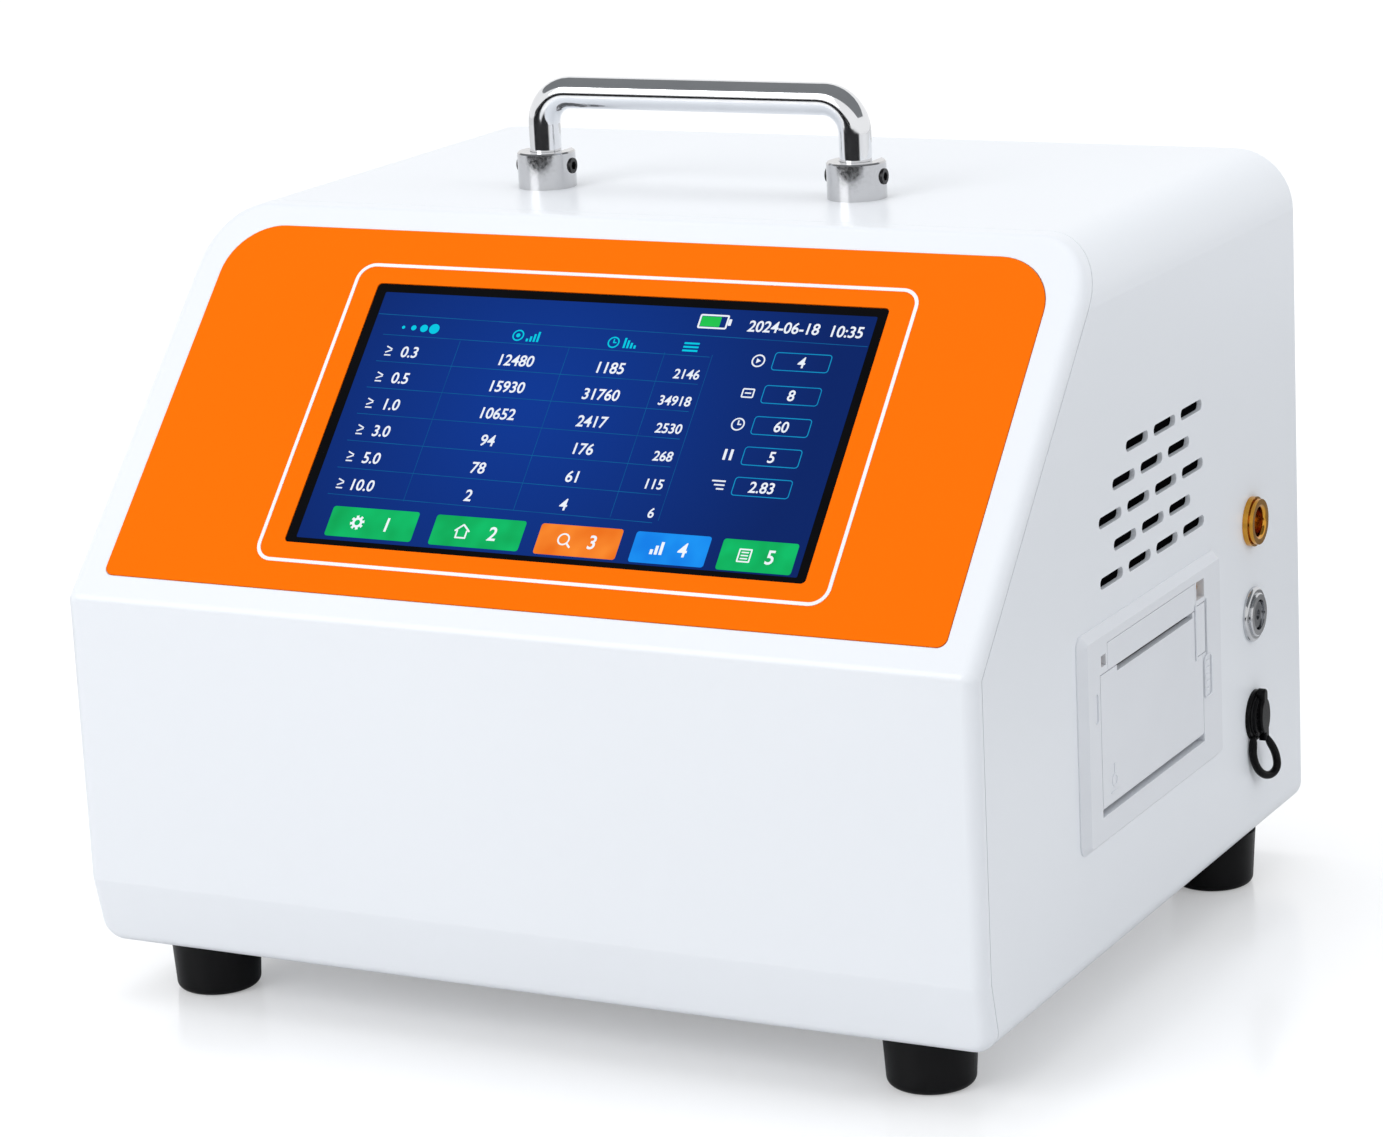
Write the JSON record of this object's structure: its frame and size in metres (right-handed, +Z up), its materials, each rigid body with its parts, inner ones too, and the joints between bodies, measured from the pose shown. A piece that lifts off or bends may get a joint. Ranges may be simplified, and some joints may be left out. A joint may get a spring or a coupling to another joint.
{
  "type": "airborne particle counter",
  "caption": "Bench-top air particle counter: white housing with a sloped orange display face, fold-down carrying handle, side-mounted receipt printer, brass sampling inlet and rubber feet.",
  "frame": {"origin": "centre of the bounding box's footprint on the floor, under the rubber feet", "axes": "+Z up; the front with the display looks along -Y; the side with the sampling inlet and the printer looks along +X"},
  "size_m": [0.3066, 0.258, 0.2678],
  "materials": {
    "battery_wrap": "shrink-wrapped cells",
    "black_plastic": "black moulding",
    "black_rubber": "moulded black rubber",
    "black_steel": "black-oxide steel",
    "brass": "turned brass",
    "chassis_aluminium": "plain aluminium",
    "display_glass": "black-bordered touch display",
    "green_board": "printed circuit board",
    "orange_overlay": "satin orange overlay",
    "polished_chrome": "polished",
    "printer_plastic": "fine-grained light grey moulding",
    "satin_steel": "fine turned steel",
    "sheet_steel": "plated sheet steel",
    "silicone_tube": "clear silicone tubing",
    "silver_line": "raised pale outline",
    "thermal_paper": "white paper roll",
    "white_shell": "satin white paint, slightly bluish",
    "zinc_screw": "zinc-plated steel"
  },
  "bodies": {
    "housing": {"battery_pack": "battery_wrap", "battery_strap": "sheet_steel", "cap_tether": "black_rubber", "chassis_plate": "chassis_aluminium", "clamp_screw_1": "zinc_screw", "clamp_screw_2": "zinc_screw", "clamp_screw_3": "zinc_screw", "clamp_screw_4": "zinc_screw", "control_panel": "orange_overlay", "display_clamp_lower": "sheet_steel", "display_clamp_upper": "sheet_steel", "display_module": "sheet_steel", "door_pin": "zinc_screw", "foot_1": "black_rubber", "foot_2": "black_rubber", "foot_3": "black_rubber", "foot_4": "black_rubber", "foot_screw_1": "zinc_screw", "foot_screw_2": "zinc_screw", "foot_screw_3": "zinc_screw", "foot_screw_4": "zinc_screw", "front_shell": "white_shell", "handle_base_left": "satin_steel", "handle_base_right": "satin_steel", "handle_nut_left": "zinc_screw", "handle_nut_right": "zinc_screw", "handle_pin_left": "black_steel", "handle_pin_right": "black_steel", "inlet_fitting": "brass", "inlet_nut": "brass", "inlet_tube": "silicone_tube", "main_board": "green_board", "panel_line": "silver_line", "paper_roll": "thermal_paper", "port_nut": "black_plastic", "port_socket": "black_plastic", "print_head": "sheet_steel", "printer_bezel": "printer_plastic", "printer_well": "printer_plastic", "pump_tube": "silicone_tube", "rear_panel": "white_shell", "rear_screw_1": "zinc_screw", "rear_screw_2": "zinc_screw", "rear_screw_3": "zinc_screw", "rear_screw_4": "zinc_screw", "sample_pump": "black_plastic", "sensor_block": "chassis_aluminium", "strip_shaft": "brass", "switch_body": "satin_steel", "switch_nut": "satin_steel", "tear_strip": "printer_plastic", "touch_glass": "display_glass", "wrap_cover": "white_shell"},
    "handle": {"handle_bar": "polished_chrome"},
    "switch": {"switch_button": "satin_steel"},
    "cap": {"port_cap": "black_rubber"},
    "door": {"printer_door": "printer_plastic"},
    "platen": {"platen_roller": "black_rubber", "platen_shaft": "zinc_screw"},
    "release": {"release_button": "printer_plastic"}
  },
  "joints": [
    {"name": "handle_fold", "type": "hinge", "parent": "housing", "child": "handle", "pos_m": [-0.00693, 0.0175, 0.2396], "axis": [-1, 0, 0], "range_deg": [0, 90]},
    {"name": "power_button", "type": "slide", "parent": "housing", "child": "switch", "axis": [-1, 0, 0], "range_m": [0, 0.002], "stiffness_N_per_m": 800, "springref_m": -0.001},
    {"name": "cap_pull", "type": "slide", "parent": "housing", "child": "cap", "axis": [1, 0, 0], "range_m": [0, 0.012]},
    {"name": "printer_door", "type": "hinge", "parent": "housing", "child": "door", "pos_m": [0.14767, -0.0027, 0.0681], "axis": [0, 1, 0], "range_deg": [0, 85]},
    {"name": "platen_spin", "type": "hinge", "parent": "door", "child": "platen", "pos_m": [0.14207, -0.0027, 0.1017], "axis": [0, 1, 0], "continuous": true},
    {"name": "door_release", "type": "slide", "parent": "housing", "child": "release", "axis": [-1, 0, 0], "range_m": [0, 0.0012], "stiffness_N_per_m": 600, "springref_m": -0.001}
  ]
}
